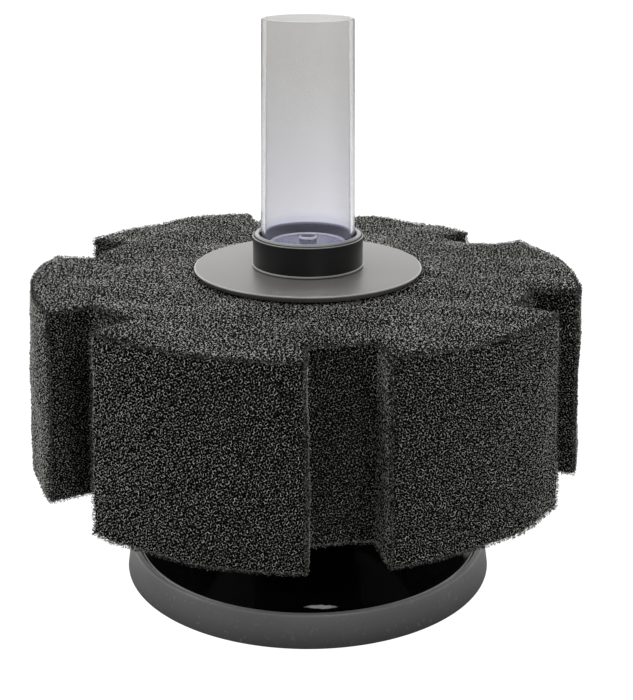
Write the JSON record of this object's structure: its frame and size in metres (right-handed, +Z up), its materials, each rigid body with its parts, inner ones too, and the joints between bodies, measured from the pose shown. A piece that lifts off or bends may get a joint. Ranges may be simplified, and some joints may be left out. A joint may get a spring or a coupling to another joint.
{
  "type": "aquarium sponge filter",
  "caption": "Air-driven aquarium sponge filter: notched dark foam block on a slotted core over a round weighted base, with a clear lift tube rising from a black ring collar.",
  "frame": {"origin": "centre of the base's underside, on the table", "axes": "+Z up along the lift tube, -Y the front, from where a notch of the foam is just right of the middle, +X to the right"},
  "size_m": [0.1568, 0.1568, 0.161],
  "materials": {
    "base_dish": "satin",
    "ballast": "matte",
    "base_top": "gloss",
    "core": "satin",
    "foam": "matte",
    "top_disc": "satin",
    "seal": "matte",
    "collar": "satin",
    "nozzle": "gloss",
    "lift_tube": "gloss"
  },
  "bodies": {
    "base": {"base_dish": "base_dish", "base_weight": "ballast", "base_top": "base_top"},
    "core": {"core_plug": "core", "strainer_core": "core"},
    "foam": {"sponge": "foam"},
    "disc": {"top_disc": "top_disc"},
    "collar_rise": {"tube_seal": "seal"},
    "collar": {"collar": "collar", "air_stem": "core"},
    "nozzle": {"air_nozzle": "nozzle"},
    "tube": {"lift_tube": "lift_tube"}
  },
  "joints": [
    {"name": "core_pull", "type": "slide", "parent": "base", "child": "core", "axis": [0, 0, 1], "range_m": [0, 0.022]},
    {"name": "sponge_lift", "type": "slide", "parent": "core", "child": "foam", "axis": [0, 0, 1], "range_m": [0, 0.058]},
    {"name": "disc_lift", "type": "slide", "parent": "foam", "child": "disc", "axis": [0, 0, 1], "range_m": [0, 0.014]},
    {"name": "collar_rise", "type": "slide", "parent": "disc", "child": "collar_rise", "axis": [0, 0, 1], "range_m": [0, 0.009]},
    {"name": "collar_turn", "type": "hinge", "parent": "collar_rise", "child": "collar", "pos_m": [0, 0, 0.0926], "axis": [0, 0, 1], "range_deg": [0, 1080]},
    {"name": "nozzle_pull", "type": "slide", "parent": "collar", "child": "nozzle", "axis": [0, 0, 1], "range_m": [0, 0.004]},
    {"name": "tube_pull", "type": "slide", "parent": "collar", "child": "tube", "axis": [0, 0, 1], "range_m": [0, 0.01]}
  ],
  "couplings": [
    {"joint": "collar_rise", "follows": "collar_turn", "m_per_rad": 0.00047746}
  ]
}
